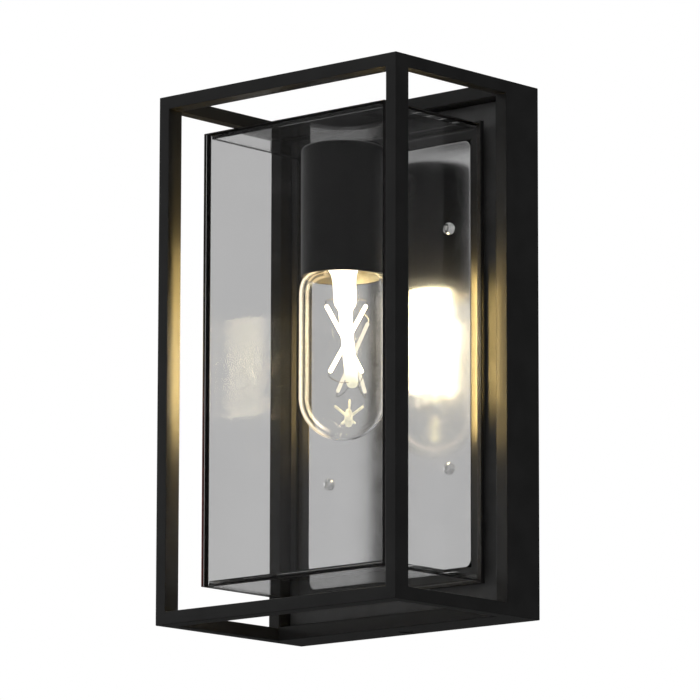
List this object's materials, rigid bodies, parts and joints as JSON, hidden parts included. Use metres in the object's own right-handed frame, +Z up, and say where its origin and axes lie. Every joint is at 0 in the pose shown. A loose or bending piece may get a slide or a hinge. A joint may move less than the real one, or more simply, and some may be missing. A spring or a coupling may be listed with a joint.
{
  "type": "outdoor wall lantern",
  "caption": "Wall lantern: open black steel cage on a shallow wall box, smoked glass box, steel mirror plate and a downward tubular bulb in a plain cup",
  "frame": {"origin": "centre of the face that lies on the wall, on the mounting bracket's rear", "axes": "+Y into the wall, -Y is the lantern's front, +Z up, +X to the viewer's right"},
  "size_m": [0.165, 0.113, 0.28],
  "materials": {
    "black_coat": "satin black powder coat with a fine grain",
    "shade_glass": "smoke-grey flat glass, polished",
    "bulb_glass": "clear blown glass",
    "mirror_steel": "satin-polished stainless sheet, a blurred mirror",
    "zinc_steel": "zinc-plated steel, dull bright",
    "green_screw": "green passivated zinc",
    "brass": "plain brass",
    "porcelain": "white glazed porcelain",
    "vitrite": "opaque black glass",
    "filament": "glowing phosphor coating on a glass rod",
    "foam_gasket": "closed-cell foam",
    "sealant": "black silicone bead",
    "nylon": "white nylon",
    "lead_black": "black wire insulation",
    "lead_white": "white wire insulation",
    "lead_green": "green wire insulation"
  },
  "bodies": {
    "lantern": {"mounting_bracket": "zinc_steel", "ground_screw": "green_screw", "wall_gasket": "foam_gasket", "back_box": "black_coat", "rim_left": "black_coat", "rim_right": "black_coat", "rim_top": "black_coat", "rim_bottom": "black_coat", "fixing_screw_top": "black_coat", "fixing_screw_bottom": "black_coat", "front_post_left": "black_coat", "front_post_right": "black_coat", "front_rail_top": "black_coat", "front_rail_bottom": "black_coat", "side_rail_top_left": "black_coat", "side_rail_top_right": "black_coat", "side_rail_bottom_left": "black_coat", "side_rail_bottom_right": "black_coat", "mirror_plate": "mirror_steel", "mirror_screw_lower_left": "zinc_steel", "mirror_screw_lower_right": "zinc_steel", "mirror_screw_upper_left": "zinc_steel", "mirror_screw_upper_right": "zinc_steel", "shade_clip_left": "zinc_steel", "shade_clip_right": "zinc_steel", "lamp_arm": "black_coat", "arm_nut_rear": "zinc_steel", "arm_nut_cup": "zinc_steel", "socket_cup": "black_coat", "holder_strap": "zinc_steel", "holder_screw_front": "zinc_steel", "holder_screw_rear": "zinc_steel", "lampholder_body": "porcelain", "screw_shell": "brass", "centre_contact": "brass", "terminal_block": "nylon", "live_lead": "lead_black", "neutral_lead": "lead_white", "earth_lead": "lead_green"},
    "glass_shade": {"shade_frame_left": "black_coat", "shade_frame_right": "black_coat", "shade_frame_top": "black_coat", "shade_frame_bottom": "black_coat", "shade_seal": "sealant", "pane_front": "shade_glass", "pane_left": "shade_glass", "pane_right": "shade_glass", "pane_top": "shade_glass", "pane_bottom": "shade_glass"},
    "bulb_tip": {"contact_tip": "zinc_steel"},
    "bulb": {"bulb_envelope": "bulb_glass", "screw_cap": "brass", "cap_insulator": "vitrite", "bulb_stem": "bulb_glass", "filament_front_a": "filament", "filament_front_b": "filament", "filament_back_a": "filament", "filament_back_b": "filament"}
  },
  "joints": [
    {"name": "shade_pull", "type": "slide", "parent": "lantern", "child": "glass_shade", "axis": [0, -1, 0], "range_m": [0, 0.1]},
    {"name": "bulb_travel", "type": "slide", "parent": "lantern", "child": "bulb_tip", "axis": [0, 0, -1], "range_m": [0, 0.0182]},
    {"name": "bulb_turn", "type": "hinge", "parent": "bulb_tip", "child": "bulb", "pos_m": [0, -0.0594, 0], "axis": [0, 0, -1], "range_deg": [0, 1800]}
  ],
  "couplings": [
    {"joint": "bulb_travel", "follows": "bulb_turn", "m_per_rad": 0.00057773}
  ]
}
